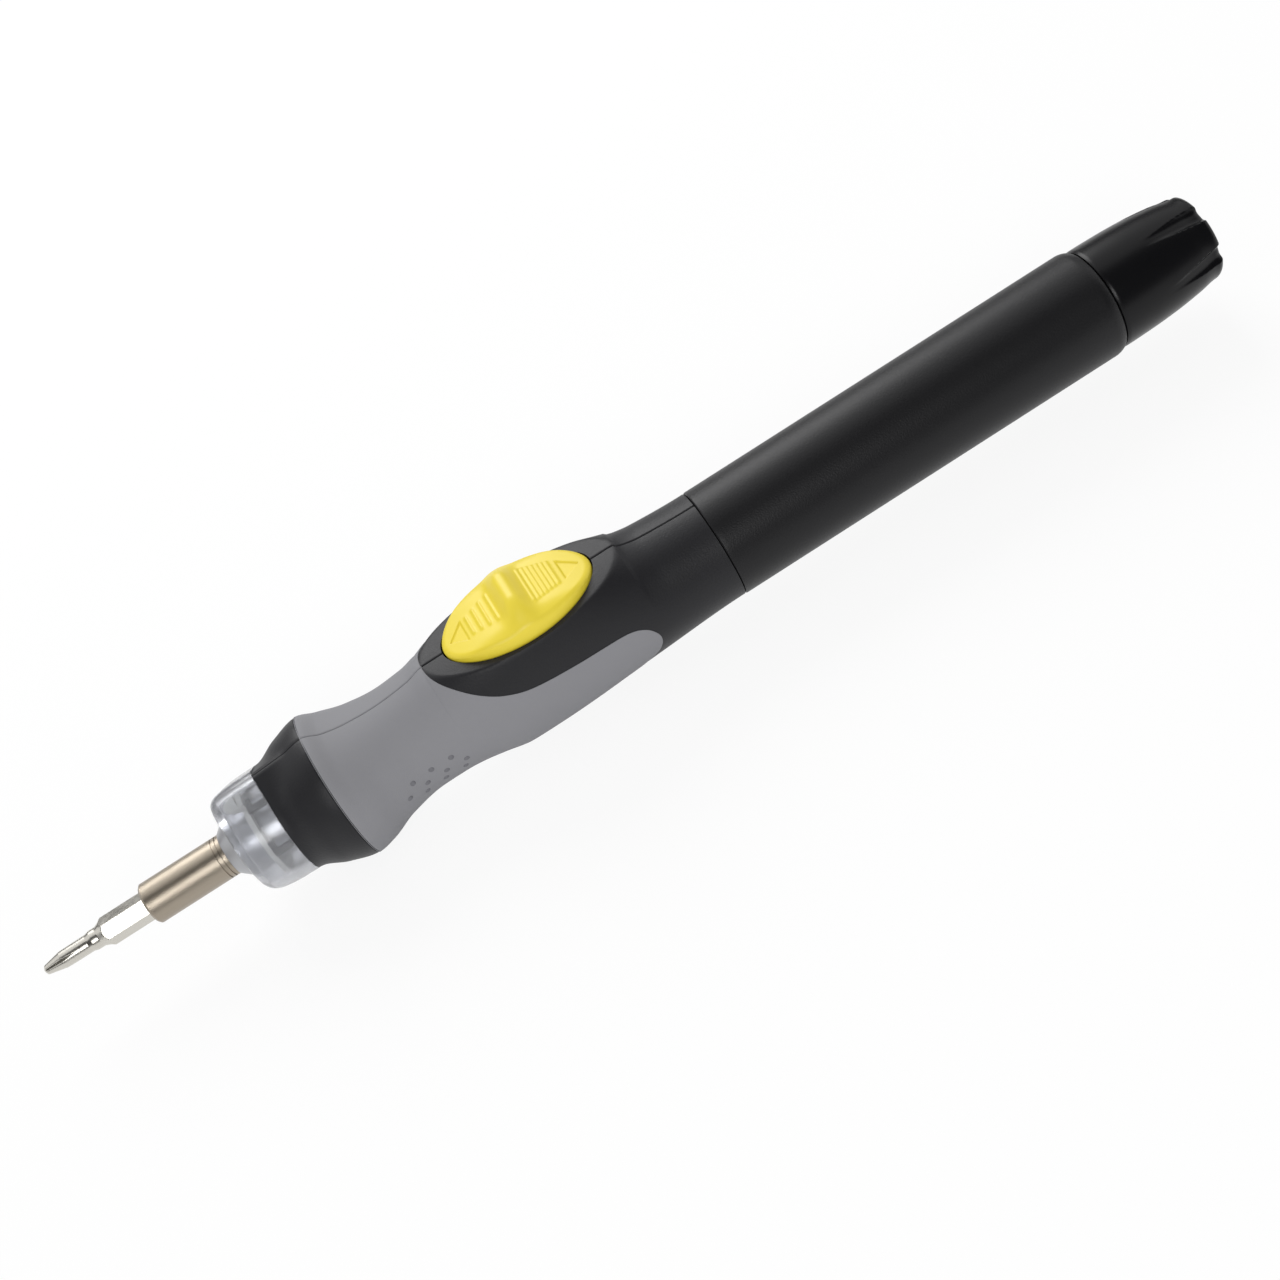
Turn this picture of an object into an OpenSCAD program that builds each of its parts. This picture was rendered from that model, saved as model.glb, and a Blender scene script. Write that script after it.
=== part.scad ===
/* [Housing] */
// Distance from the holder's front face to the front edge of the housing
nose_x = 24; // [23:0.5:25]
// Length of the two housing halves, front edge to battery tube
housing_l = 74.6; // [72:0.2:78]
// Largest radius of the flared nose
flare_r = 11.84; // [11:0.1:12.5]
// Radius at the waist behind the flare
waist_r = 8.57; // [8.5:0.05:9]
// Radius where the housing meets the battery tube
rear_r = 8.8; // [8.8:0.05:9.4]
// Height of the flat deck above the axis
deck_z = 10.9; // [10.6:0.1:11.5]
// Thickness of the soft grip layer
grip_t = 1; // [0.6:0.1:1.1]

/* [Deck and rocker] */
// Centre of the deck along the tool
deck_x = 69; // [68.5:0.1:69.5]
// Half length of the deck
deck_a = 16.4; // [16:0.1:17]
// Half width of the deck
deck_b = 7.75; // [7.6:0.05:7.8]
// Half length of the rocker
rocker_a = 12.4; // [11:0.1:12.6]
// Half width of the rocker
rocker_b = 7.1; // [6.8:0.05:7.1]
// Gap round the rocker
rocker_gap = 0.25; // [0.2:0.05:0.4]
// Height of the rocker's middle ridge above the axis
ridge_z = 15.5; // [14.5:0.1:16]
// Radius of the rocker's trunnions
trunnion_r = 0.8; // [0.6:0.05:1]

/* [Battery tube and cap] */
// Radius of the battery tube
tube_r = 8.8; // [8.8:0.05:9.2]
// Length of the battery tube that shows
tube_l = 68; // [66:0.5:72]
// Wall of the battery tube
tube_wall = 1.85; // [1.6:0.05:2]
// Length of the tail cap that shows
cap_l = 18.3; // [17:0.1:22]
// Radius of the tail cap at its rear face
cap_end_r = 7.05; // [6.8:0.05:7.3]
// Pitch of the cap's thread
cap_pitch = 2; // [1.5:0.1:2.5]

/* [Cells] */
// Diameter of a AAA cell
cell_d = 10.5; // [9.5:0.1:10.5]
// Length of a AAA cell with its cap
cell_l = 44.5; // [44:0.1:44.6]

/* [Bit and holder] */
// Length of the bit
bit_l = 28; // [25:0.5:32]
// Width across the flats of the bit's hexagon
hex_af = 4; // [3.9:0.05:4]
// Clearance between the bit and its socket, across the flats
hex_gap = 0.06; // [0.04:0.01:0.1]
// Depth of the socket
socket_l = 10.1; // [9:0.1:10.5]
// Radius of the bit holder
holder_r = 3.33; // [3.2:0.01:3.5]
// Length of the bit holder
holder_l = 13.8; // [13.5:0.1:13.9]

/* [Lens] */
// Front face of the lens
lens_x = 16.1; // [16:0.05:16.3]
// Radius of the lens where it meets the housing
lens_r = 8.9; // [8.8:0.05:9]
// Height of the ridge over the lamp
lobe_z = 10.7; // [10.4:0.05:10.9]
// Wall of the lens
lens_wall = 1.3; // [1:0.1:1.4]

/* [Motor and gears] */
// Gear module
gear_m = 0.3; // [0.28:0.01:0.3]
// Teeth on each sun pinion
sun_n = 9; // [9]
// Teeth on each planet
planet_n = 15; // [15]
// Width of the planet gears
gear_w = 4; // [3.4:0.1:4.2]
// Radius of the gearbox housing
gearbox_r = 6.9; // [6.8:0.05:7]
// Radius of the motor can
motor_r = 6; // [5.6:0.1:6]
// Length of the motor can
motor_l = 20; // [18:0.5:20]
// Radius of the motor shaft
shaft_r = 0.5; // [0.4:0.05:0.5]

/* [Hidden] */
$fn = 64;
eps = 0.01;
run = 0.05;
fit = 0.1;

// Stations along the tool
tail_x = nose_x + housing_l;
tube_end = tail_x + tube_l;
cap_x = tube_end + 0.25;
cap_end = cap_x + cap_l;
flare_x = nose_x + 8.8;
waist_x = flare_x + 13;

// Smooth curve through stations: each row is [x, value]
function slope(p, i) = i == 0 || i == len(p) - 1 ? 0 :
    let (a = (p[i][1] - p[i - 1][1]) / (p[i][0] - p[i - 1][0]),
        b = (p[i + 1][1] - p[i][1]) / (p[i + 1][0] - p[i][0]))
    a * b <= 0 ? 0 : 2 * a * b / (a + b);
function row(p, x, i = 0) = i >= len(p) - 2 || x < p[i + 1][0] ? i : row(p, x, i + 1);
function through(p, x) =
    let (i = row(p, x), h = p[i + 1][0] - p[i][0], u = min(1, max(0, (x - p[i][0]) / h)))
    p[i][1] * (1 + 2 * u) * (1 - u) * (1 - u) + slope(p, i) * h * u * (1 - u) * (1 - u)
    + p[i + 1][1] * u * u * (3 - 2 * u) + slope(p, i + 1) * h * u * u * (u - 1);

// Side, top and bottom outlines of the housing, from the nose to the battery tube
side_line = [[nose_x, lens_r + 0.05], [flare_x - 4.6, 10.63], [flare_x - 0.2, flare_r],
    [flare_x + 2.7, 11.23], [flare_x + 7.1, 9.6], [waist_x, waist_r], [deck_x - 16, 8.8],
    [deck_x - 8, 9.8], [deck_x, 9.95], [deck_x + 12, 9.5], [tail_x, rear_r]];
top_line = [[nose_x, lens_r + 0.05], [flare_x - 0.2, flare_r], [flare_x + 2.7, 10.3],
    [flare_x + 6.2, 9.5], [waist_x - 2.5, 9.2], [deck_x - 19.5, 9.8], [deck_x - deck_a, deck_z - 0.1],
    [deck_x - deck_a + 1.6, deck_z + 0.02], [deck_x + deck_a - 1.2, deck_z + 0.02],
    [deck_x + deck_a + 1.4, 9.9], [deck_x + deck_a + 4, 9.3], [tail_x, rear_r]];
bottom_line = [[nose_x, lens_r + 0.05], [flare_x - 4.6, 10.63], [flare_x - 0.2, flare_r],
    [flare_x + 2.7, 11.23], [flare_x + 7.1, 9.6], [waist_x, waist_r], [deck_x - 18.9, 8.45],
    [deck_x - 12.9, 9.5], [deck_x - 8.4, 10.5], [deck_x + 14, 9.45], [tail_x, rear_r]];

// Height that the upper half would reach if the deck's flat were not there
function deck_w(x) = abs(x - deck_x) >= deck_a ? 0 : deck_b * sqrt(1 - pow((x - deck_x) / deck_a, 2));
function tall(x) = deck_w(x) == 0 ? through(top_line, x) :
    deck_z / sqrt(1 - pow(deck_w(x) / through(side_line, x), 2));

// Outline of a round section with a ridge over it, as [y, z] at an angle from the top
RIDGE_Q = 1.4;
function ridged(r, ridge, a) =
    let (c = ridge - RIDGE_Q, phi = c > r - RIDGE_Q ? acos((r - RIDGE_Q) / c) : 0,
        tip = atan2(RIDGE_Q * sin(phi), c + RIDGE_Q * cos(phi)),
        d = a >= phi ? r : a > tip ? r / cos(phi - a)
            : c * cos(a) + sqrt(max(0, RIDGE_Q * RIDGE_Q - pow(c * sin(a), 2))))
    [d * sin(a), d * cos(a)];

// One half ring of the housing, from the top round to the bottom, moved in by t
RING = 15;
function half_angle(i) = 180 * i / RING;
function nose_ridge(x) = lobe_z + 0.08 * (x - nose_x);
function ring_point(x, i, t) =
    let (a = half_angle(i), s = through(side_line, x))
    x < flare_x ? ridged(s - t, nose_ridge(x) - t, a) :
    let (h = a <= 90 ? tall(x) : through(bottom_line, x),
        d = 1 / sqrt(pow(sin(a) / (s - t), 2) + pow(cos(a) / (h - t), 2)),
        dz = d * cos(a), w = deck_w(x), top = deck_top(d * sin(a)) - t)
    w == 0 || a > 90 || dz < top ? [d * sin(a), dz] : [top * tan(a), top];
function deck_top(y) = deck_z - 0.6 * pow(y / deck_b, 2);
function stations(a, b, n) = [for (i = [0:n]) a + (b - a) * i / n];
front_xs = stations(nose_x, flare_x - 0.2, 6);
grip_xs = concat([flare_x + 0.6], stations(flare_x + 2, deck_x - deck_a - 1, 9));
deck_xs = [for (i = [0:18]) deck_x - deck_a * cos(180 * i / 18)];
rear_xs = [deck_x + deck_a + 1, deck_x + deck_a + 2.4, deck_x + deck_a + 4.4, (deck_x + deck_a + 4.4 + tail_x) / 2,
    tail_x];

// Solid of one side of the axis plane, lofted through the half rings
module half_loft(xs, t) {
    n = RING + 1;
    last = (len(xs) - 1) * n;
    rings = [for (x = xs) for (i = [0:RING])
        let (p = ring_point(x, i, t)) [x, i == 0 || i == RING ? 0 : p[0], p[1]]];
    walls = [for (k = [0:len(xs) - 2]) for (i = [0:RING - 1]) each
        let (a = k * n + i, b = a + n) [[a, a + 1, b], [a + 1, b + 1, b]]];
    middle = [for (k = [0:len(xs) - 2]) each
        let (a = k * n, b = a + n) [[a, b, a + RING], [b, b + RING, a + RING]]];
    ends = [for (i = [1:RING - 1]) each [[0, i + 1, i], [last, last + i, last + i + 1]]];
    polyhedron(rings, concat(walls, middle, ends), 10);
}
module outer_half() {
    half_loft(concat(front_xs, grip_xs, deck_xs, rear_xs), 0);
}

// Side view of the soft grip's edge, as [x, z]: up the flare, along the deck's side and round the tongue
grip_edge = [[flare_x, -20], [flare_x, 20], [deck_x - deck_a, 20], [deck_x - deck_a, deck_z],
    [deck_x - 15.4, 10.2], [deck_x - 13.6, 9], [deck_x - 11.1, 7.25], [deck_x - 8.1, 5.6],
    [deck_x - 4.4, 4.4], [deck_x + 2.2, 3.75], [deck_x + 9.6, 3.2], [deck_x + 12.3, 2.7],
    [deck_x + 14, 1.7], [deck_x + 15, 0.3], [deck_x + 15.4, -1.3], [deck_x + 15, -3], [deck_x + 13.7, -4.7],
    [deck_x + 10.5, -6.6], [deck_x + 7, -8.4], [deck_x + 4, -12]];
module grip_side() {
    rotate([90, 0, 0]) linear_extrude(20) polygon(concat(grip_edge, [[deck_x + 4, -20]]));
}

// Places along the tool inside the housing
gearbox_x = nose_x + 2;
gearbox_l = 15;
motor_x = gearbox_x + gearbox_l + 0.1;
bush_r = 5;
spindle_r = 2.5;
motor_end = motor_x + motor_l;
board_z = motor_r + 0.3;
board_t = 0.8;
board_w = 9.2;
cells_x = cap_end - 9.2 - 2 * cell_l;
contact_x = cells_x - 2.1;
spigot_l = 6.5;
spigot_r = tube_r - 0.95;
tube_bore = tube_r - tube_wall;

module along_x(x, l, r, r2) {
    translate([x, 0, 0]) rotate([0, 90, 0]) cylinder(l, r, r2 == undef ? r : r2);
}
module revolve_x(profile) {
    rotate([90, 0, 90]) rotate_extrude() polygon([for (p = profile) [p[1], p[0]]]);
}

// Everything that the two housing halves leave open inside
module cavity() {
    along_x(nose_x - 1, 3.01, bush_r + fit);
    along_x(gearbox_x, gearbox_l + 1, gearbox_r + fit);
    along_x(motor_x, 11, motor_r + fit);
    along_x(motor_x + 10, motor_l - 15, 7.4);
    along_x(motor_x + 14, motor_l - 13.4, motor_r + fit);
    along_x(motor_end, 2, 5);
    along_x(motor_end + 1.2, tail_x - motor_end - spigot_l - 2.4, 7.3);
    along_x(tail_x - spigot_l - 1.2, spigot_l + 2, spigot_r + run);
    translate([deck_x - 12, -board_w / 2 - fit, board_z - 0.1]) cube([24, board_w + 2 * fit, board_t + 0.2]);
    translate([deck_x - 11.5, -3.6, 0]) cube([23, 7.2, deck_z]);
}
module rocker_pocket() {
    translate([deck_x, 0, board_z + board_t + 1.1]) scale([rocker_a + rocker_gap, rocker_b + rocker_gap, 1])
        cylinder(10, 1, 1);
    for (side = [-1, 1]) translate([deck_x, 0, trunnion_z]) rotate([90, 0, 0])
        cylinder(2 * trunnion_reach + 0.2, trunnion_r + run, trunnion_r + run, center = true);
}
trunnion_z = 9.5;
trunnion_reach = rocker_b + 0.45;

// Pins that line the two halves up, as [x, z]
pins = [[motor_end + 6, -8.3], [motor_end + 20, -8.1], [motor_end + 30, 8.1]];
PIN_R = 0.5;

// Ribs inside the rear of the housing, across the axis
module housing_ribs() {
    for (x = [motor_end + 5, motor_end + 14, contact_x - 1.3]) difference() {
        along_x(x, 1.2, 7.4);
        along_x(x - 1, 4, 5);
        translate([x - 1, -board_w / 2 - fit, 0]) cube([4, board_w + 2 * fit, 10]);
    }
}
module housing_half() {
    difference() {
        outer_half();
        difference() {
            mirror([0, 1, 0]) grip_side();
            half_loft(grip_range_xs, grip_t);
        }
        cavity();
        rocker_pocket();
    }
    intersection() {
        housing_ribs();
        translate([0, 0, -10]) cube([200, 10, 20]);
    }
    latch_ring();
}
grip_range_xs = concat([flare_x - 0.2], grip_xs, deck_xs, [rear_xs[0]]);

// Spigot at the front that the lens snaps over
module latch_ring() {
    intersection() {
        difference() {
            union() {
                along_x(nose_x - 3.2, 3.3, lens_r - lens_wall - fit);
                for (a = [0, 120, 240]) rotate([a, 0, 0]) translate([nose_x - 2.2, 0, lens_r - lens_wall - 0.6])
                    rotate([0, 90, 0]) cylinder(1, 1, 1);
            }
            along_x(nose_x - 4, 5, bush_r + fit);
        }
        translate([0, 0, -10]) cube([200, 10, 20]);
    }
}
module housing_left() {
    color("#1c1c1e") mirror([0, 1, 0]) difference() {
        housing_half();
        for (p = pins) translate([p[0], -1, p[1]]) rotate([-90, 0, 0]) cylinder(2.6, PIN_R + run, PIN_R + run);
    }
}
module housing_right() {
    color("#1c1c1e") union() {
        housing_half();
        for (p = pins) translate([p[0], -1.4, p[1]]) rotate([-90, 0, 0]) cylinder(2, PIN_R, PIN_R);
    }
}
module grip_half() {
    difference() {
        intersection() {
            outer_half();
            mirror([0, 1, 0]) grip_side();
        }
        half_loft(grip_range_xs, grip_t);
    }
}
module grip_left() {
    color("#808084") mirror([0, 1, 0]) grip_half();
}
module grip_right() {
    color("#808084") grip_half();
}

// Gear teeth: outline of an involute gear, where spread widens or narrows every tooth by an angle
PRESSURE = 20;
FLANK = 3;
function inv(a) = tan(a) * 180 / PI - a;
function half_tooth(r, n, spread) =
    let (base = gear_m * n / 2 * cos(PRESSURE))
    90 / n + inv(PRESSURE) - inv(acos(min(1, base / max(r, base)))) + spread;
function gear_points(n, add, ded, spread) =
    let (pitch = gear_m * n / 2, low = pitch - ded * gear_m, high = pitch + add * gear_m)
    [for (k = [0:n - 1]) each [for (side = [-1, 1]) each [for (j = [0:FLANK])
        let (u = side < 0 ? j / FLANK : 1 - j / FLANK, r = low + (high - low) * u,
            a = 360 * k / n + side * half_tooth(r, n, spread))
        [r * cos(a), r * sin(a)]]]];
gear_gap = 0.9;
planet_orbit = gear_m * (sun_n + planet_n) / 2;
ring_n = sun_n + 2 * planet_n;
module gear(x, l, n) {
    translate([x, 0, 0]) rotate([0, 90, 0]) linear_extrude(l)
        polygon(gear_points(n, 0.8, 1.1, -gear_gap * 9 / n));
}

// Stations of the gearbox, front to back
flange_t = 1.2;
teeth_x = gearbox_x + 3.1;
carrier_t = 1.2;
output_gear_x = teeth_x + 0.1;
carrier2_x = output_gear_x + gear_w + 0.3;
input_gear_x = carrier2_x + carrier_t + 0.25;
cover_t = 1.4;
cover_x = gearbox_x + gearbox_l - cover_t;
pin_r = 0.45;

module gearbox_nose() {
    color("#8c8a86") difference() {
        union() {
            along_x(holder_l + 0.05, 1.85, holder_r + 0.1, bush_r);
            along_x(holder_l + 1.9, gearbox_x - holder_l - 1.9, bush_r);
            along_x(gearbox_x, flange_t, gearbox_r);
        }
        along_x(holder_l - 1, gearbox_x, spindle_r + run);
    }
}
module ring_gear() {
    color("#e8e4d8") difference() {
        along_x(gearbox_x + flange_t, cover_x - gearbox_x - flange_t, gearbox_r);
        along_x(gearbox_x, teeth_x - gearbox_x, planet_orbit + 2.25);
        translate([teeth_x - eps, 0, 0]) rotate([0, 90, 0]) linear_extrude(gearbox_l)
            polygon(gear_points(ring_n, 1.1, 0.8, gear_gap * 9 / ring_n));
    }
}
module gearbox_cover() {
    color("#b9b9bd") difference() {
        along_x(cover_x, cover_t, gearbox_r);
        along_x(cover_x - 1, cover_t + 2, boss_r + run);
        for (a = [60, 240]) rotate([a, 0, 0]) translate([cover_x - 1, 0, 4.2]) rotate([0, 90, 0])
            cylinder(cover_t + 2, 0.6, 0.6);
    }
}
boss_r = 2.1;
module carrier_pins(x) {
    for (a = [0, 120, 240]) rotate([a, 0, 0]) translate([0, 0, -planet_orbit]) along_x(x, gear_w + 0.1, pin_r);
}
module output_spindle() {
    color("#b9b9bd") union() {
        along_x(magnet_x + magnet_l + 0.15, holder_l - magnet_x - magnet_l, 1.9);
        along_x(holder_l + 0.05, teeth_x - carrier_t - 0.1 - holder_l, spindle_r);
        along_x(teeth_x - carrier_t - 0.1, carrier_t, planet_orbit + 1.6);
        carrier_pins(teeth_x - 0.1);
    }
}
module planet(x, a) {
    color("#d8b060") rotate([a, 0, 0]) translate([0, 0, -planet_orbit]) difference() {
        gear(x, gear_w, planet_n);
        along_x(x - 1, gear_w + 2, pin_r + run);
    }
}
module output_planet_a() { planet(output_gear_x, 0); }
module output_planet_b() { planet(output_gear_x, 120); }
module output_planet_c() { planet(output_gear_x, 240); }
module input_planet_a() { planet(input_gear_x, 0); }
module input_planet_b() { planet(input_gear_x, 120); }
module input_planet_c() { planet(input_gear_x, 240); }
module input_carrier() {
    color("#b9b9bd") union() {
        gear(output_gear_x + 0.1, carrier2_x - output_gear_x, sun_n);
        along_x(carrier2_x, carrier_t, planet_orbit + 1.6);
        carrier_pins(carrier2_x + carrier_t - eps);
    }
}

// Motor: a can with two magnets, a three-pole rotor on a shaft and a rear cap
can_t = 0.45;
cap_t = 2.2;
module motor_can() {
    color("#c4c6ca") difference() {
        union() {
            along_x(motor_x, motor_l - cap_t, motor_r);
            along_x(motor_x - 1.2, 1.21, boss_r);
        }
        along_x(motor_x + 0.8, motor_l, motor_r - can_t);
        along_x(motor_x - 2, 4, shaft_r + run);
    }
}
module motor_magnets() {
    color("#3a3a3e") for (side = [0, 180]) rotate([side, 0, 0]) intersection() {
        difference() {
            along_x(motor_x + 3, 12, motor_r - can_t - 0.05);
            along_x(motor_x + 2, 14, motor_r - can_t - 1.1);
        }
        translate([motor_x, -20, 1.6]) cube([motor_l, 40, 20]);
    }
}
module motor_cap() {
    color("#e9e9e4") difference() {
        union() {
            along_x(motor_x + motor_l - cap_t, cap_t, motor_r - 0.1);
            along_x(motor_end - 0.01, 1, 1.6);
            for (side = [-1, 1]) translate([motor_end - 0.01, side * 3.6 - 0.2, -0.8]) cube([3, 0.4, 1.6]);
        }
        along_x(motor_x + motor_l - cap_t - 1, cap_t + 1.4, shaft_r + run);
    }
}
module rotor() {
    color("#b4673a") difference() {
        union() {
            along_x(input_gear_x + 0.2, motor_end + 0.2 - input_gear_x - 0.2, shaft_r);
            gear(input_gear_x + 0.1, gear_w + 0.2, sun_n);
            along_x(motor_x + 3.5, 11, 4.1);
            along_x(motor_x + 14.4, 2.4, 1.5);
        }
        for (a = [0, 120, 240]) rotate([a, 0, 0]) {
            translate([motor_x + 3, -0.5, 1.6]) cube([12, 1, 4]);
            translate([motor_x + 3, 0, 2.4]) rotate([0, 90, 0]) cylinder(12, 1, 1);
        }
    }
}

// Bit: a hexagon with a turned shank and a cross point
bit_tip = -(bit_l - socket_l);
shank = [[0, 0.35], [0.25, 0.75], [3.1, 1.38], [7.6, 1.4], [8.3, 1.6], [9.4, 1.6], [10.3, 2]];
module bit() {
    color("#c9cacc") difference() {
        union() {
            revolve_x(concat([[bit_tip, 0]], [for (p = shank) [bit_tip + p[0], p[1]]],
                [[bit_tip + 12, 2], [bit_tip + 12, 0]]));
            intersection() {
                translate([bit_tip + 10.3, 0, 0]) rotate([0, 90, 0]) rotate(15)
                    cylinder(bit_l - 10.3, hex_af / sqrt(3), hex_af / sqrt(3), $fn = 6);
                revolve_x([[bit_tip + 10, 0], [bit_tip + 10, 2], [bit_tip + 10.8, 2.4],
                    [socket_l - 0.4, 2.4], [socket_l, 2], [socket_l, 0]]);
            }
        }
        for (a = [45:90:315]) rotate([a, 0, 0]) translate([bit_tip - 0.5, 0, 0.42]) rotate([0, -9.5, 0])
            rotate([45, 0, 0]) cube([7.5, 3, 3]);
    }
}
magnet_x = socket_l + 0.05;
magnet_l = 1.5;
groove_xs = [holder_l - 0.65, holder_l - 1.35];
module bit_holder() {
    color("#a39c92") difference() {
        revolve_x([[0, 0], [0, holder_r - 0.35], [0.35, holder_r], [holder_l, holder_r], [holder_l, 0]]);
        translate([-1, 0, 0]) rotate([0, 90, 0]) rotate(15)
            cylinder(socket_l + 1.02, (hex_af + hex_gap) / sqrt(3), (hex_af + hex_gap) / sqrt(3), $fn = 6);
        along_x(-eps, 0.5, 2.7, 2.2);
        along_x(magnet_x - 0.02, magnet_l + 0.12, 1.9);
        along_x(magnet_x, holder_l, 1.9);
        for (x = groove_xs) difference() {
            along_x(x, 0.25, holder_r + 1);
            along_x(x - 1, 2.5, holder_r - 0.2);
        }
    }
}
module magnet() {
    color("#6e6f73") along_x(magnet_x + 0.02, magnet_l, 1.85);
}

// Lens: a clear cup whose ridge holds the lamp
lens_line = [[lens_x, lens_r - 1.75], [lens_x + 0.45, lens_r - 1.1], [lens_x + 1.3, lens_r - 0.6],
    [lens_x + 2.6, lens_r - 0.25], [lens_x + 4.8, lens_r - 0.05], [nose_x - 0.05, lens_r]];
lens_end = nose_x - 0.05;
LENS_RING = 20;
module lens_loft(xs, t) {
    n = 2 * LENS_RING;
    last = (len(xs) - 1) * n;
    rings = [for (x = xs) for (i = [0:n - 1])
        let (a = 180 * i / LENS_RING, r = through(lens_line, min(x, lens_end)), fold = a > 180 ? 360 - a : a,
            p = ridged(r - t, lobe_z - (lens_r - r) - t, fold))
        [x, a > 180 ? -p[0] : p[0], p[1]]];
    walls = [for (k = [0:len(xs) - 2]) for (i = [0:n - 1]) each
        let (a = k * n + i, b = a + n, c = k * n + (i + 1) % n, d = c + n) [[a, c, b], [c, d, b]]];
    ends = [for (i = [1:n - 2]) each [[0, i + 1, i], [last, last + i, last + i + 1]]];
    polyhedron(rings, concat(walls, ends), 10);
}
module lens() {
    color("#dfe6ea", 0.6) difference() {
        lens_loft([for (p = lens_line) p[0]], 0);
        lens_loft([lens_x + lens_wall, lens_x + 2.6, lens_x + 4.8, lens_end + 1], lens_wall);
        along_x(lens_x - 1, 4, bush_r + 0.3);
        for (a = [0, 120, 240]) rotate([a, 0, 0]) translate([nose_x - 2.35, 0, lens_r - lens_wall - 0.6])
            rotate([0, 90, 0]) cylinder(1.3, 1.15, 1.15);
    }
}
lamp_z = 7.6;
lamp_r = 1.25;
lamp_board_x = nose_x - 4.15;
module lamp() {
    color("#f4f2dc") union() {
        translate([0, 0, lamp_z]) along_x(lamp_board_x - 0.6, 0.6, lamp_r + 0.2);
        translate([0, 0, lamp_z]) along_x(lamp_board_x - 1.2, 0.7, lamp_r);
        translate([lamp_board_x - 1.2, 0, lamp_z]) sphere(lamp_r - 0.25);
    }
}
module lamp_board() {
    color("#2f6b3c") translate([lamp_board_x, 0, 0]) rotate([90, 0, 90]) linear_extrude(0.8) difference() {
        union() {
            circle(lens_r - lens_wall - 0.6);
            translate([-1.5, 0]) square([3, lobe_z - lens_wall - 1.2]);
        }
        circle(bush_r + 0.3);
    }
}

// Switch board with its two switches
module switch_board() {
    color("#2f6b3c") union() {
        translate([deck_x - 11.9, -board_w / 2, board_z]) cube([23.8, board_w, board_t]);
        translate([deck_x - 2, -2, board_z + board_t - eps]) cube([4, 4, 0.9]);
        for (x = [-5, 4.2]) translate([deck_x + x, -0.8, board_z + board_t - eps]) cube([0.8, 1.6, 0.5]);
    }
}
dome_x = 8;
dome_h = 0.6;
module switch_domes() {
    color("#d8d8d4") for (side = [-1, 1]) translate([deck_x + side * dome_x, 0, board_z + board_t]) {
        cylinder(dome_h / 2, 1.8, 1.8);
        cylinder(dome_h, 1.1, 0.9);
    }
}

// Rocker: an oval key with a dished top and a ridge across the middle
rocker_low = 9.2;
rocker_tip_z = 11.2;
rocker_mid_z = 13.3;
function rocker_top(u) = rocker_tip_z + (rocker_mid_z - rocker_tip_z) * cos(90 * min(1, abs(u) / rocker_a))
    + (ridge_z - rocker_mid_z) * ridge_share((abs(u) - 0.7) / 1.9);
function ridge_share(v) = v <= 0 ? 1 : v >= 1 ? 0 : 1 - v * v * (3 - 2 * v);
rocker_us = [-1, -0.85, -0.7, -0.55, -0.4, -0.3, -0.21, -0.17, -0.13, -0.09, -0.056, 0.056, 0.09, 0.13, 0.17,
    0.21, 0.3, 0.4, 0.55, 0.7, 0.85, 1];
module rocker_side(drop) {
    rotate([90, 0, 0]) linear_extrude(2 * rocker_b + 2, center = true)
        polygon(concat([[-rocker_a, rocker_low]], [for (u = rocker_us) [u * rocker_a, rocker_top(u * rocker_a) - drop]],
            [[rocker_a, rocker_low]]));
}
module rocker_front() {
    rotate([90, 0, 90]) linear_extrude(2 * rocker_a + 2, center = true) intersection() {
        translate([-rocker_b, rocker_low]) square([2 * rocker_b, 10]);
        translate([0, ridge_z - 9.2]) scale([1, 1.15]) circle(8);
    }
}
module rocker() {
    color("#efe04a") translate([deck_x, 0, 0]) difference() {
        union() {
            intersection() {
                translate([0, 0, rocker_low]) scale([rocker_a, rocker_b, 1]) cylinder(9, 1, 1);
                rocker_side(0);
                rocker_front();
            }
            translate([0, 0, trunnion_z]) rotate([90, 0, 0])
                cylinder(2 * trunnion_reach, trunnion_r, trunnion_r, center = true);
            for (side = [-1, 1]) translate([side * dome_x, 0, rocker_low - 0.9]) cylinder(1, 1, 1);
            for (x = concat([for (i = [0:3]) -7 + i * 1.15], [for (i = [0:5]) 2.9 + i * 1]))
                translate([x, 0, rocker_top(x) - 0.12]) rotate([90, 0, 0])
                    cylinder(x < 0 ? 6 : 8, 0.25, 0.25, center = true);
        }
        for (side = [-1, 1]) difference() {
            translate([0, 0, rocker_low + 1]) linear_extrude(8)
                polygon([[side * 8.6, -1.9], [side * 11, 0], [side * 8.6, 1.9]]);
            rocker_side(0.25);
        }
    }
}

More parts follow.
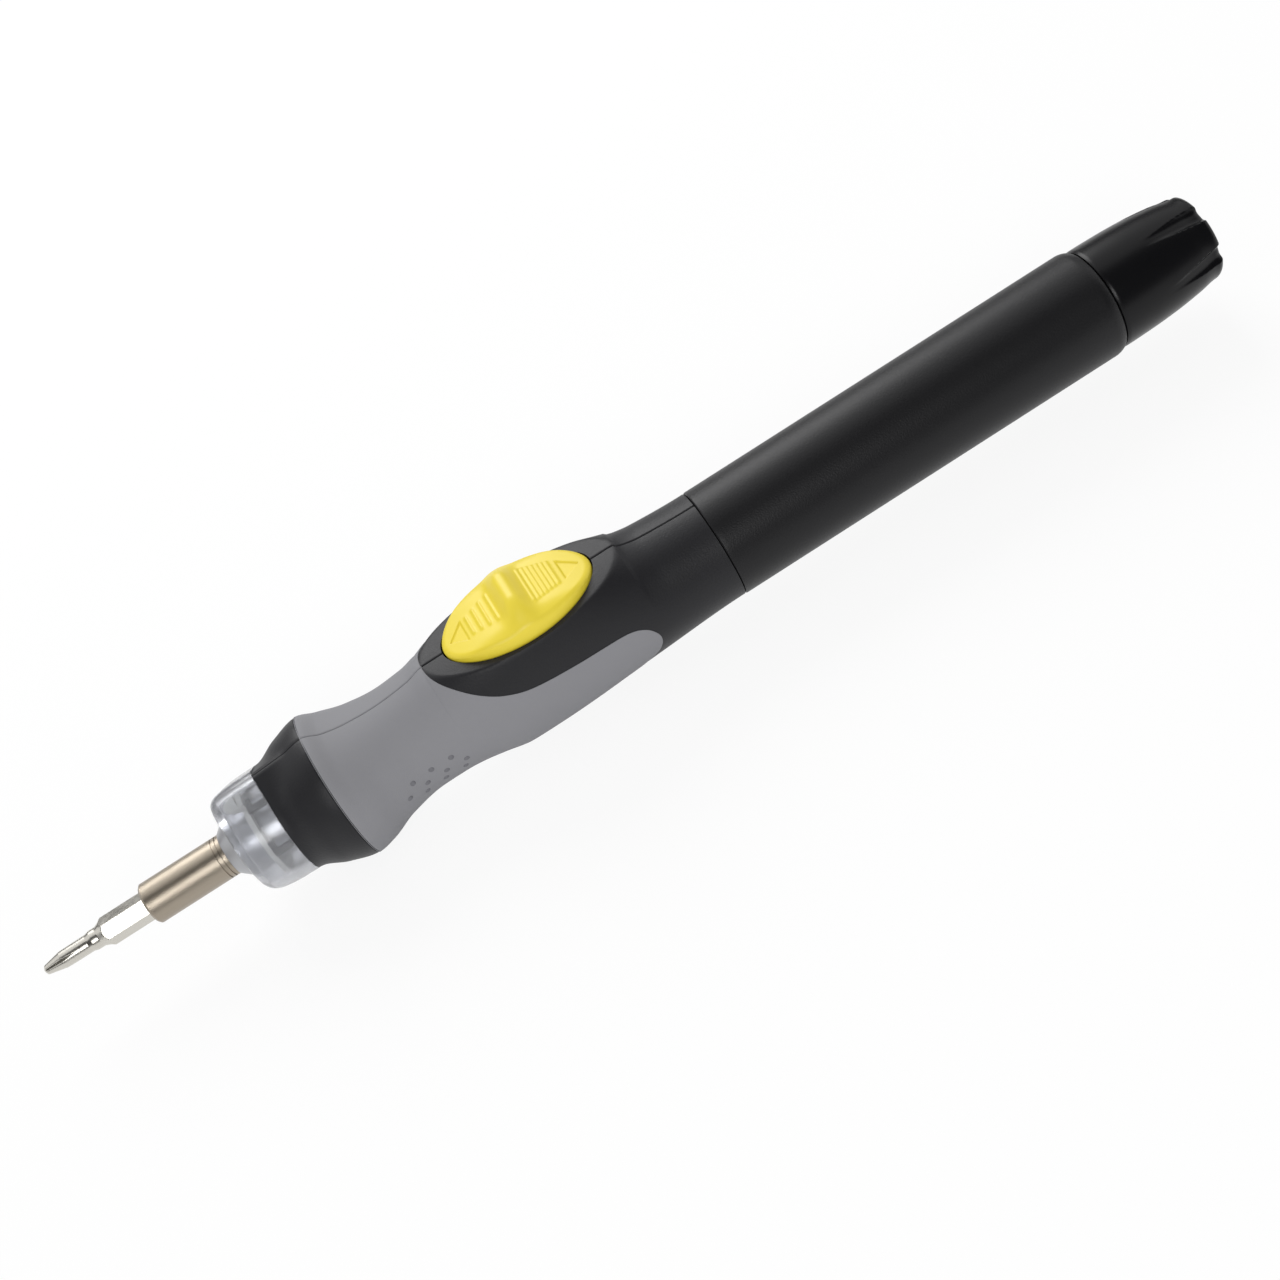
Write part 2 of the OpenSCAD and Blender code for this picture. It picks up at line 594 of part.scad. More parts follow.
// Cells, battery tube, cap and contacts
module cell(x) {
    along_x(x + 0.8, cell_l - 0.8, cell_d / 2);
    along_x(x, 0.81, 1.9);
}
module cells() {
    color("#5f7d4c") for (i = [0, 1]) cell(cells_x + i * (cell_l + 0.02));
}
module front_contact() {
    color("#c9cacc") union() {
        along_x(contact_x, 0.8, 7.1);
        along_x(contact_x + 0.79, 1.26, 3.2, 1.6);
    }
}
cap_plug_l = 4;
cap_plug_r = tube_r - 1.25;
module battery_tube() {
    color("#19191b") union() {
        revolve_x([[tail_x - spigot_l, tube_bore], [tail_x - spigot_l, spigot_r - 0.4], [tail_x - spigot_l + 0.4, spigot_r],
            [tail_x + 0.1, spigot_r], [tail_x + 0.1, tube_r - 0.35], [tail_x + 0.45, tube_r],
            [tube_end - 1.5, tube_r], [tube_end, tube_r - 0.4],
            [tube_end, cap_plug_r + 0.1], [tube_end - cap_plug_l - 0.3, cap_plug_r + 0.1],
            [tube_end - cap_plug_l - 0.3, tube_bore]]);
        for (a = [0:60:300]) rotate([a, 0, 0]) translate([tail_x - spigot_l + 1, -0.5, cell_d / 2 + 0.2])
            cube([tube_l + spigot_l - cap_plug_l - 2, 1, tube_bore - cell_d / 2 - 0.1]);
    }
}
// along the cap, how far its skin lies inside the tube's
cap_line = [[0.3, 0.44], [5.3, 0.55], [9.8, 0.8], [12.2, 1.04], [14.3, 1.3]];
module tail_cap() {
    color("#17171a") difference() {
        revolve_x(concat([[cap_x - cap_plug_l, 0], [cap_x - cap_plug_l, cap_plug_r], [cap_x, cap_plug_r],
            [cap_x, tube_r - 0.75]],
            [for (p = cap_line) [cap_x + p[0], tube_r - p[1]]],
            [for (a = [0:15:90]) [cap_end - 1.2 + 1.2 * sin(a), cap_end_r - 0.9 + 0.9 * cos(a)]],
            [[cap_end, 0]]));
        along_x(cap_x - cap_plug_l - 1, cap_l + cap_plug_l - 0.8, cell_d / 2 + 0.35);
    }
}
plate_x = cap_end - 2.4;
module cap_contact() {
    color("#c9cacc") along_x(plate_x, 0.55, cell_d / 2);
}
spring_wire = 0.3;
spring_turns = 4;
spring_x = cells_x + 2 * cell_l + 0.35;
module cap_spring() {
    n = 6;
    rings = spring_turns * 14;
    path = [for (k = [0:rings]) let (u = k / rings, a = 360 * spring_turns * u, r = 2.6 + 1.6 * u)
        [spring_x + (plate_x - spring_x - spring_wire) * u, r * cos(a), r * sin(a)]];
    points = [for (k = [0:rings]) for (i = [0:n - 1])
        let (a = 360 * spring_turns * k / rings, b = 360 * i / n)
        path[k] + [spring_wire * sin(b), spring_wire * cos(b) * cos(a), spring_wire * cos(b) * sin(a)]];
    walls = [for (k = [0:rings - 1]) for (i = [0:n - 1]) each
        let (a = k * n + i, b = k * n + (i + 1) % n) [[a, b, a + n], [b, b + n, a + n]]];
    last = rings * n;
    ends = [for (i = [1:n - 2]) each [[0, i + 1, i], [last, last + i, last + i + 1]]];
    color("#c9cacc") polyhedron(points, concat(walls, ends), 10);
}

housing_left();
housing_right();
grip_left();
grip_right();
lens();
lamp();
lamp_board();
gearbox_nose();
ring_gear();
gearbox_cover();
bit();
bit_holder();
magnet();
output_spindle();
output_planet_a();
output_planet_b();
output_planet_c();
input_carrier();
input_planet_a();
input_planet_b();
input_planet_c();
motor_can();
motor_magnets();
motor_cap();
rotor();
switch_board();
switch_domes();
rocker();
front_contact();
cells();
battery_tube();
tail_cap();
cap_contact();
cap_spring();
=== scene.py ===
"""Cordless precision screwdriver: looks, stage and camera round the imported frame."""

import math

import bmesh
import bpy
import numpy as np
from mathutils import Matrix, Vector


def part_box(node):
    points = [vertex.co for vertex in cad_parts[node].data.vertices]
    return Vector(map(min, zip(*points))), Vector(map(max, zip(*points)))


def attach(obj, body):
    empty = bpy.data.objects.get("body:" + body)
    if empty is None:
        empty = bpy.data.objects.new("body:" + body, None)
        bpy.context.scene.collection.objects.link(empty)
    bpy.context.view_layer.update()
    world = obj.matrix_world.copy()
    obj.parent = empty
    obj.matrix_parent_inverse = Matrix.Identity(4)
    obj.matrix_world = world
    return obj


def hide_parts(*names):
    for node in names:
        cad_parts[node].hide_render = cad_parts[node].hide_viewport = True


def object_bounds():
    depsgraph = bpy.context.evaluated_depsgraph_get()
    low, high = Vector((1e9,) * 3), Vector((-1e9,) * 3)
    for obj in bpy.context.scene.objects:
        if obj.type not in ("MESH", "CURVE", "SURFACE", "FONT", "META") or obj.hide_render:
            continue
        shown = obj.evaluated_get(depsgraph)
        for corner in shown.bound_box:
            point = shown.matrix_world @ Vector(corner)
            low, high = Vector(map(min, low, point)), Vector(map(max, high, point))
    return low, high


bl_info = {
    "name": "Precision Screwdriver",
    "version": (1, 0, 0),
    "blender": (4, 5, 0),
    "location": "3D View > Sidebar > Screwdriver",
    "description": "Builds a slim cordless screwdriver with a rocker switch round its mechanical frame",
    "category": "Object",
}

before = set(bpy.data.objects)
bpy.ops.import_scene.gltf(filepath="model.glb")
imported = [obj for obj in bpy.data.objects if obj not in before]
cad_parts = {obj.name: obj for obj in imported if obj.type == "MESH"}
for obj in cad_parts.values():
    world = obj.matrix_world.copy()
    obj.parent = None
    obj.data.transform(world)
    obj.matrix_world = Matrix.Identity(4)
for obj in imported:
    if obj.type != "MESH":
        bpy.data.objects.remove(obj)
cad_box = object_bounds()

MM = 0.001
TAU = 2 * math.pi


def low(node, axis=0):
    """Lowest coordinate of a frame node, in millimetres."""
    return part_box(node)[0][axis] / MM


def high(node, axis=0):
    """Highest coordinate of a frame node, in millimetres."""
    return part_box(node)[1][axis] / MM


# Stations along the tool and radii, in millimetres from the frame's origin
LENS_X = low("lens")
NOSE_X = high("lens") + 0.05
FLARE_X = NOSE_X + 8.8
WAIST_X = FLARE_X + 13
TAIL_X = high("housing_left")
DECK_X = 0.5 * (low("rocker") + high("rocker"))
TUBE_END = high("battery_tube")
CAP_X = TUBE_END + 0.25
CAP_END = high("tail_cap")
FLARE_R = high("grip_left", 2)
TUBE_R = high("battery_tube", 2)
LENS_R = high("lens", 1)

# Rocker: half length, half width, how far its pocket clears it, and the radius of its edge
ROCKER_A = 12.4
ROCKER_B = 7.1
POCKET_GAP = 0.25
ROCKER_EDGE = 0.55

# Bit: where its tip lies, and its size across the flats
BIT_TIP = low("bit", 0)
BIT_HEX = 4.0

# Camera: height over the horizon, turn about its own axis, lean toward the tail, and distance
CAMERA_HEIGHT = math.radians(45.3)
CAMERA_TURN = math.radians(32.63)
CAMERA_LEAN = math.radians(2.2)
CAMERA_AWAY = 0.280
CAMERA_TARGET = Vector((0.0826, 0, 0))
CAMERA_DROP = 0.00587
CAMERA_LENS = 53.0
CAMERA_SHIFT = (-0.0034, -0.0038)

# Stage: what the lamps face, the floor's half width, and the shares of white and of room light
LAMP_TARGET = (0.085, 0, 0)
FLOOR_HALF = 3000
FLOOR_WHITE = 0.88
ROOM_LIGHT = 0.45


# ---------------------------------------------------------------- outlines


def through(rows, x):
    """Smooth monotone curve through [x, value] rows, for one x or an array."""
    px = np.array([r[0] for r in rows], float)
    py = np.array([r[1] for r in rows], float)
    step = np.diff(py) / np.diff(px)
    tangent = np.zeros(len(px))
    inner = step[:-1] * step[1:]
    total = np.where(step[:-1] + step[1:] == 0, 1, step[:-1] + step[1:])
    tangent[1:-1] = np.where(inner > 0, 2 * inner / total, 0)
    x = np.asarray(x, float)
    i = np.clip(np.searchsorted(px, x, side="right") - 1, 0, len(px) - 2)
    h = px[i + 1] - px[i]
    u = np.clip((x - px[i]) / h, 0, 1)
    return (
        py[i] * (1 + 2 * u) * (1 - u) ** 2
        + tangent[i] * h * u * (1 - u) ** 2
        + py[i + 1] * u * u * (3 - 2 * u)
        + tangent[i + 1] * h * u * u * (u - 1)
    )


def smooth_min(a, b, k):
    """The lower of two heights, with the corner between them rounded over k."""
    h = np.clip(0.5 + 0.5 * (b - a) / k, 0, 1)
    return b * (1 - h) + a * h - k * h * (1 - h)


def smooth_step(a, b, x):
    """Rises smoothly from 0 at a to 1 at b."""
    u = np.clip((x - a) / (b - a), 0, 1)
    return u * u * (3 - 2 * u)


class Body:
    """Outlines of the housing, in millimetres, from the nose to the battery tube."""

    deck_a = 16.4  # half length of the deck round the rocker
    deck_b = 7.75  # its half width
    deck_z = 10.9  # its height
    ridge_z = 10.7  # height of the ridge over the lamp
    ridge_q = 1.4  # radius of that ridge
    ridge_rise = 0.08  # how fast the ridge climbs toward the flare
    ridge_split = math.radians(46)  # angle from the top that the ridge lies within
    rim = 0.3
    side = [
        [NOSE_X, LENS_R + 0.05], [FLARE_X - 4.6, 10.63], [FLARE_X - 0.2, FLARE_R], [FLARE_X + 2.7, 11.23],
        [FLARE_X + 7.1, 9.6], [WAIST_X, 8.57], [DECK_X - 16, 8.8], [DECK_X - 8, 9.8], [DECK_X, 9.95],
        [DECK_X + 12, 9.5], [TAIL_X, TUBE_R],
    ]
    top = [
        [NOSE_X, LENS_R + 0.05], [FLARE_X - 0.2, FLARE_R], [FLARE_X + 2.7, 10.3], [FLARE_X + 6.2, 9.5],
        [WAIST_X - 2.5, 9.2], [DECK_X - 19.5, 9.8], [DECK_X - deck_a, deck_z - 0.1],
        [DECK_X - deck_a + 1.6, deck_z + 0.02], [DECK_X + deck_a - 1.2, deck_z + 0.02],
        [DECK_X + deck_a + 1.4, 9.9], [DECK_X + deck_a + 4, 9.3], [TAIL_X, TUBE_R],
    ]
    bottom = [
        [NOSE_X, LENS_R + 0.05], [FLARE_X - 4.6, 10.63], [FLARE_X - 0.2, FLARE_R], [FLARE_X + 2.7, 11.23],
        [FLARE_X + 7.1, 9.6], [WAIST_X, 8.57], [DECK_X - 18.9, 8.45], [DECK_X - 12.9, 9.5],
        [DECK_X - 8.4, 10.5], [DECK_X + 14, 9.45], [TAIL_X, TUBE_R],
    ]


def deck_half_width(x):
    """Half width of the oval deck at x, or 0 beyond its ends."""
    u = (x - DECK_X) / Body.deck_a
    return Body.deck_b * math.sqrt(max(0.0, 1 - u * u))


def ridged(r, ridge, angles, q):
    """Round section of radius r with a ridge over it: distance from the axis at angles from the top."""
    c = ridge - q
    phi = math.acos((r - q) / c) if c > r - q else 0.0
    tip = math.atan2(q * math.sin(phi), c + q * math.cos(phi))
    flat = r / np.cos(np.clip(phi - angles, 0, 1.4))
    crest = c * np.cos(angles) + np.sqrt(np.maximum(0, q * q - (c * np.sin(angles)) ** 2))
    return np.where(angles >= phi, r, np.where(angles > tip, flat, crest))


RIM_POINTS = 26
SIDE_POINTS = 70


def section_angles(split):
    """Angles from the top to the bottom, closer together above the split."""
    return np.concatenate([np.linspace(0, split, RIM_POINTS, endpoint=False),
                           np.linspace(split, math.pi, SIDE_POINTS)])


def section(x):
    """Half outline of the housing at x, from the top round to the bottom, as rows of (y, z)."""
    s = float(through(Body.side, x))
    if x < FLARE_X:
        angles = section_angles(Body.ridge_split)
        d = ridged(s, Body.ridge_z + Body.ridge_rise * (x - NOSE_X), angles, Body.ridge_q)
        return np.stack([d * np.sin(angles), d * np.cos(angles)], 1)
    w = deck_half_width(x)
    tall = Body.deck_z / math.sqrt(1 - (w / s) ** 2) if w > 0 else float(through(Body.top, x))
    depth = float(through(Body.bottom, x))
    angles = section_angles(math.asin(min(0.97, max(w, 1.4) / s)))
    y = s * np.sin(angles)
    z = np.where(angles < math.pi / 2, tall, depth) * np.cos(angles)
    if w > 0:
        z = smooth_min(z, Body.deck_z - 0.6 * (y / Body.deck_b) ** 2, Body.rim)
    return np.stack([y, z], 1)


# ---------------------------------------------------------------- meshes


def mesh_object(name, points, faces, sharp=35, smooth=True):
    """New mesh object from points in millimetres."""
    mesh = bpy.data.meshes.new(name)
    mesh.from_pydata([tuple(float(v) * MM for v in p) for p in points], [], faces)
    mesh.validate()
    mesh.update()
    obj = bpy.data.objects.new(name, mesh)
    bpy.context.scene.collection.objects.link(obj)
    if smooth:
        shade(obj, sharp)
    return obj


def shade(obj, sharp=35):
    """Smooth shading, with edges past the sharp angle kept crisp."""
    mesh = obj.data
    mesh.polygons.foreach_set("use_smooth", [True] * len(mesh.polygons))
    mesh.set_sharp_from_angle(angle=math.radians(sharp))
    mesh.update()


def grid_faces(rows, cols, wrap, start=0):
    """Quads of a grid of points, whose last column joins the first if wrap is set."""
    faces = []
    for i in range(rows - 1):
        for j in range(cols if wrap else cols - 1):
            a = start + i * cols + j
            b = start + i * cols + (j + 1) % cols
            faces.append((a, b, b + cols, a + cols))
    return faces


def revolve(name, outline, turns=192, sharp=30, radius=None):
    """Solid of revolution about the tool's axis from (x, r) rows; radius(x, r, angle) can shape it."""
    angles = np.linspace(0, TAU, turns, endpoint=False)
    points = []
    for x, r in outline:
        for a in angles:
            d = radius(x, r, a) if radius else r
            points.append((x, d * math.sin(a), d * math.cos(a)))
    n = len(outline)
    closed = outline[0][1] > 0.001 and outline[-1][1] > 0.001
    faces = [tuple(reversed(f)) for f in grid_faces(n, turns, True)]
    if closed:
        last = (n - 1) * turns
        faces += [(last + j, j, (j + 1) % turns, last + (j + 1) % turns)[::-1] for j in range(turns)]
    obj = mesh_object(name, points, faces, sharp)
    weld(obj)
    orient(obj)
    shade(obj, sharp)
    return obj


def weld(obj, distance=1e-6):
    """Joins points that coincide and drops faces without area."""
    bm = bmesh.new()
    bm.from_mesh(obj.data)
    bmesh.ops.remove_doubles(bm, verts=bm.verts, dist=distance)
    bmesh.ops.dissolve_degenerate(bm, edges=bm.edges, dist=1e-7)
    bm.to_mesh(obj.data)
    bm.free()
    obj.data.update()


def orient(obj):
    """Turns every face outward."""
    bm = bmesh.new()
    bm.from_mesh(obj.data)
    bmesh.ops.recalc_face_normals(bm, faces=bm.faces)
    bm.to_mesh(obj.data)
    bm.free()
    obj.data.update()


def apply_modifiers(obj):
    """Keeps the evaluated mesh and drops the modifiers."""
    depsgraph = bpy.context.evaluated_depsgraph_get()
    mesh = bpy.data.meshes.new_from_object(obj.evaluated_get(depsgraph))
    obj.modifiers.clear()
    old = obj.data
    obj.data = mesh
    bpy.data.meshes.remove(old)


def cut(obj, tool, operation="DIFFERENCE"):
    """Cuts obj with the tool, which is used up."""
    mod = obj.modifiers.new("cut", "BOOLEAN")
    mod.operation = operation
    mod.object = tool
    mod.solver = "EXACT"
    apply_modifiers(obj)
    bpy.data.objects.remove(tool)


def prism(name, outline, axis, start, end):
    """Solid between two places along an axis (0, 1 or 2) from an outline in the other two axes."""
    n = len(outline)
    points = []
    for place in (start, end):
        for p in outline:
            row = [p[0], p[1]]
            row.insert(axis, place)
            points.append(row)
    faces = [tuple(range(n)), tuple(range(2 * n - 1, n - 1, -1))]
    faces += [(i, (i + 1) % n, n + (i + 1) % n, n + i) for i in range(n)]
    obj = mesh_object(name, points, faces, smooth=False)
    orient(obj)
    return obj


def ellipse(cx, cy, a, b, count=256):
    """Points round an ellipse with half axes a and b."""
    turns = [TAU * i / count for i in range(count)]
    return [(cx + a * math.cos(t), cy + b * math.sin(t)) for t in turns]


SEAM_DIP = 0.1
SEAM_REACH = 0.22


def half_shell(name, xs, lift, wall, gap, sharp=35):
    """One half of the housing's skin, lifted by lift, wall thick, its seam edge gap from the middle."""
    rows = []
    for x in xs:
        yz = section(x)
        away = yz / np.linalg.norm(yz, axis=1)[:, None]
        outer = yz + away * lift
        inner = yz - away * (wall - lift)
        for line in (outer, inner):
            line[:, 0] = np.maximum(line[:, 0], gap)
        near_seam = 1 - smooth_step(gap, gap + SEAM_REACH, outer[:, 0])
        outer[:, 1] -= np.sign(outer[:, 1]) * SEAM_DIP * near_seam ** 2
        ring = np.concatenate([outer, inner[::-1]])
        rows.append([(x, y, z) for y, z in ring])
    cols = len(rows[0])
    points = [p for row in rows for p in row]
    faces = grid_faces(len(rows), cols, True)
    half = cols // 2
    last = (len(rows) - 1) * cols
    for j in range(half - 1):
        k = cols - 1 - j
        faces.append((j, j + 1, k - 1, k))
        faces.append((last + j, last + k, last + k - 1, last + j + 1))
    obj = mesh_object(name, points, faces, sharp)
    orient(obj)
    return obj


def half_solid(name, xs, lift):
    """Solid inside the housing's outline, moved out by lift, a little past the middle plane."""
    rows = []
    for x in xs:
        yz = section(x)
        yz = yz + yz / np.linalg.norm(yz, axis=1)[:, None] * lift
        ring = [(-2, yz[0][1])] + [(y, z) for y, z in yz] + [(-2, yz[-1][1])]
        rows.append([(x, y, z) for y, z in ring])
    cols = len(rows[0])
    points = [p for row in rows for p in row]
    faces = grid_faces(len(rows), cols, True)
    last = (len(rows) - 1) * cols
    faces += [tuple(range(cols)), tuple(last + j for j in range(cols))]
    obj = mesh_object(name, points, faces)
    orient(obj)
    return obj


def mirrored(obj, name):
    """Copy of obj on the other side of the middle plane."""
    twin = obj.copy()
    twin.data = obj.data.copy()
    twin.name = name
    twin.data.name = name
    twin.data.transform(Matrix.Diagonal((1, -1, 1, 1)))
    twin.data.flip_normals()
    bpy.context.scene.collection.objects.link(twin)
    return twin


def stand_for(obj, material, body, *nodes):
    """Gives obj its material, body and the frame nodes that it stands for."""
    obj.data.materials.clear()
    obj.data.materials.append(material)
    if nodes:
        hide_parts(*nodes)
    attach(obj, body)
    return obj


# ---------------------------------------------------------------- finishes


def finish_material(name, colour, roughness, grain=0.0, grain_size=0.3, metallic=0.0, mottle=0.06,
                    stretch=(1, 1, 1), specular=0.5):
    """Procedural finish: fine grain in the relief, and slow changes in colour and gloss."""
    material = bpy.data.materials.new(name)
    material.use_nodes = True
    nodes, links = material.node_tree.nodes, material.node_tree.links
    shader = nodes["Principled BSDF"]
    shader.inputs["Metallic"].default_value = metallic
    shader.inputs["Specular IOR Level"].default_value = specular
    place = nodes.new("ShaderNodeTexCoord")
    scaled = nodes.new("ShaderNodeMapping")
    scaled.inputs["Scale"].default_value = stretch
    links.new(place.outputs["Object"], scaled.inputs["Vector"])

    def noise(size, detail):
        node = nodes.new("ShaderNodeTexNoise")
        node.inputs["Scale"].default_value = 1 / (size * MM)
        node.inputs["Detail"].default_value = detail
        links.new(scaled.outputs["Vector"], node.inputs["Vector"])
        return node

    slow = noise(9, 3)
    fine = noise(grain_size, 2)
    tint = nodes.new("ShaderNodeMix")
    tint.data_type = "RGBA"
    tint.inputs[6].default_value = (*[c * (1 - mottle) for c in colour], 1)
    tint.inputs[7].default_value = (*[min(1, c * (1 + mottle)) for c in colour], 1)
    links.new(slow.outputs["Fac"], tint.inputs["Factor"])
    links.new(tint.outputs[2], shader.inputs["Base Color"])
    gloss = nodes.new("ShaderNodeMapRange")
    gloss.inputs["To Min"].default_value = roughness - 0.05
    gloss.inputs["To Max"].default_value = roughness + 0.07
    links.new(fine.outputs["Fac"], gloss.inputs["Value"])
    links.new(gloss.outputs["Result"], shader.inputs["Roughness"])
    if grain:
        bump = nodes.new("ShaderNodeBump")
        bump.inputs["Strength"].default_value = grain
        bump.inputs["Distance"].default_value = 0.04 * MM
        links.new(fine.outputs["Fac"], bump.inputs["Height"])
        links.new(bump.outputs["Normal"], shader.inputs["Normal"])
    return material


def srgb(r, g, b):
    """Linear colour from the 0 to 255 values of a colour picker."""
    return tuple((v / 255 / 12.92) if v <= 10 else ((v / 255 + 0.055) / 1.055) ** 2.4 for v in (r, g, b))


def lens_material():
    """Clear plastic with a fine grain."""
    material = finish_material("clear_polycarbonate", (0.74, 0.75, 0.78), 0.2, 0.25, 0.6)
    shader = material.node_tree.nodes["Principled BSDF"]
    shader.inputs["Transmission Weight"].default_value = 0.86
    shader.inputs["IOR"].default_value = 1.45
    return material


FINISHES = {}


def make_finishes(colours):
    """Fills FINISHES with one material for each kind of surface."""
    FINISHES.update(
        black=finish_material("moulded_black", colours.black, 0.47, 0.8, 0.26, mottle=0.1, specular=0.3),
        tube=finish_material("satin_black", colours.tube, 0.42, 0.7, 0.24, mottle=0.08, specular=0.26),
        cap=finish_material("gloss_black", srgb(15, 15, 17), 0.3, 0.1, 0.18, mottle=0.08, specular=0.2),
        grip=finish_material("soft_grey", colours.grip, 0.72, 0.5, 0.16, mottle=0.025),
        nub=finish_material("soft_grey_nubs", srgb(112, 112, 117), 0.72, 0.5, 0.16, mottle=0.025),
        yellow=finish_material("rocker_yellow", colours.rocker, 0.42, 0.2, 0.25, mottle=0.03),
        nickel=finish_material("satin_nickel", srgb(163, 153, 139), 0.33, 0.3, 0.1, 1.0, 0.07, (1, 12, 12)),
        bit=finish_material("plated_bit_steel", srgb(206, 203, 195), 0.27, 0.01, 1.2, 1.0, 0.03),
        steel=finish_material("turned_steel", srgb(170, 171, 174), 0.32, 0.2, 0.15, 1.0, 0.04),
        gear=finish_material("natural_acetal", srgb(226, 221, 205), 0.4, 0.2, 0.2),
        brass=finish_material("sintered_bronze", srgb(196, 150, 80), 0.38, 0.3, 0.12, 1.0),
        winding=finish_material("enamelled_copper", srgb(178, 92, 48), 0.35, 0.4, 0.15, 0.8),
        ferrite=finish_material("ferrite", srgb(52, 52, 56), 0.55, 0.4, 0.12, 0.3),
        white=finish_material("white_nylon", srgb(226, 226, 220), 0.45, 0.2, 0.2),
        board=finish_material("board_green", srgb(38, 96, 52), 0.35, 0.2, 0.3),
        jacket=finish_material("cell_sleeve", srgb(88, 118, 76), 0.3, 0.1, 0.3),
        lens=lens_material(),
    )


# ---------------------------------------------------------------- sizes and colours


class DriverSizes(bpy.types.PropertyGroup):
    """Sizes of the visible skins, in millimetres."""

    seam_gap: bpy.props.FloatProperty(
        name="Seam gap", description="Half of the parting line between the housing halves",
        default=0.05, min=0.02, max=0.15)
    grip_proud: bpy.props.FloatProperty(
        name="Grip step", description="How far the soft grip stands above the housing",
        default=0.07, min=0, max=0.2)
    wall: bpy.props.FloatProperty(
        name="Wall", description="Thickness of the housing's skin", default=1.3, min=1, max=1.6)
    dot_r: bpy.props.FloatProperty(
        name="Grip dot", description="Radius of the nubs on the grip", default=0.5, min=0.3, max=0.6)


class DriverColours(bpy.types.PropertyGroup):
    """Colours of the visible plastics."""

    black: bpy.props.FloatVectorProperty(
        name="Housing", description="Colour of the housing", subtype="COLOR",
        default=srgb(30, 30, 33), min=0, max=1)
    tube: bpy.props.FloatVectorProperty(
        name="Battery tube", description="Colour of the tube and the tail cap", subtype="COLOR",
        default=srgb(23, 23, 25), min=0, max=1)
    grip: bpy.props.FloatVectorProperty(
        name="Grip", description="Colour of the soft grip", subtype="COLOR",
        default=srgb(136, 136, 140), min=0, max=1)
    rocker: bpy.props.FloatVectorProperty(
        name="Rocker", description="Colour of the rocker", subtype="COLOR",
        default=srgb(236, 214, 60), min=0, max=1)


# ---------------------------------------------------------------- pieces


def smooth_line(points, steps=12):
    """Catmull-Rom curve through points, as a dense open line."""
    p = [2 * np.array(points[0]) - np.array(points[1])] + [np.array(q, float) for q in points]
    p.append(2 * np.array(points[-1]) - np.array(points[-2]))
    out = []
    for i in range(1, len(p) - 2):
        for k in range(steps):
            t = k / steps
            a = 2 * p[i]
            b = p[i + 1] - p[i - 1]
            c = 2 * p[i - 1] - 5 * p[i] + 4 * p[i + 1] - p[i + 2]
            d = 3 * p[i] - p[i - 1] - 3 * p[i + 1] + p[i + 2]
            out.append(tuple(0.5 * (a + b * t + c * t * t + d * t ** 3)))
    out.append(tuple(p[-2]))
    return out


def grip_outline(inset):
    """Side view of the soft grip as (x, z), moved in by inset."""
    edge = [(-16.4, 10.9), (-15.4, 10.2), (-13.6, 9), (-11.1, 7.25), (-8.1, 5.6), (-4.4, 4.4), (2.2, 3.75),
            (9.6, 3.2), (12.3, 2.7), (14, 1.7), (15, 0.3), (15.4, -1.3), (15, -3), (13.7, -4.7), (10.5, -6.6),
            (7, -8.4), (4, -12)]
    curve = smooth_line([(DECK_X + u, z) for u, z in edge])
    front = FLARE_X - 0.2 + inset
    line = [(front, -20), (front, 20), (DECK_X - Body.deck_a - inset, 20)]
    for k, (x, z) in enumerate(curve):
        a, b = np.array(curve[max(0, k - 1)]), np.array(curve[min(len(curve) - 1, k + 1)])
        t = (b - a) / np.linalg.norm(b - a)
        line.append((x + t[1] * inset, z - t[0] * inset))
    return line + [(DECK_X + 4 - inset, -20)]


def body_stations(start, end, step):
    """Evenly spaced stations from start to end, about a step apart."""
    count = max(2, int(round((end - start) / step)))
    return list(np.linspace(start, end, count + 1))


def deck_stations():
    """Stations along the deck, closer together at its ends."""
    return [DECK_X - Body.deck_a * math.cos(math.pi * i / 60) for i in range(61)]


class SCREWDRIVER_OT_finishes(bpy.types.Operator):
    """Make the materials that the pieces share"""

    bl_idname = "screwdriver.finishes"
    bl_label = "Finishes"

    def execute(self, context):
        make_finishes(context.scene.driver_colours)
        return {"FINISHED"}


class SCREWDRIVER_OT_housing(bpy.types.Operator):
    """Build the two black housing halves"""

    bl_idname = "screwdriver.housing"
    bl_label = "Housing halves"

    def execute(self, context):
        sizes = context.scene.driver_sizes
        xs = body_stations(NOSE_X + 0.02, TAIL_X - 0.3, 0.5)
        xs += [TAIL_X - 0.2, TAIL_X - 0.1, TAIL_X - 0.02]
        xs = [x for x in xs if abs(x - DECK_X) > Body.deck_a + 0.1] + deck_stations()
        xs = sorted({round(x, 3) for x in xs})
        half = half_shell("housing_right_shell", xs, -sizes.grip_proud, sizes.wall, sizes.seam_gap)
        pocket = prism("pocket", ellipse(DECK_X, 0, ROCKER_A + POCKET_GAP, ROCKER_B + POCKET_GAP), 2, 8.2, 20)
        recess = prism("recess", grip_outline(0.08), 1, -1, 30)
        core = half_solid("core", [x for x in xs if FLARE_X - 1 < x < DECK_X + 17], -1.0)
        cut(half, pocket)
        cut(recess, core)
        cut(half, recess)
        shade(half)
        left = mirrored(half, "housing_left_shell")
        stand_for(half, FINISHES["black"], "housing", "housing_right")
        stand_for(left, FINISHES["black"], "housing", "housing_left")
        return {"FINISHED"}


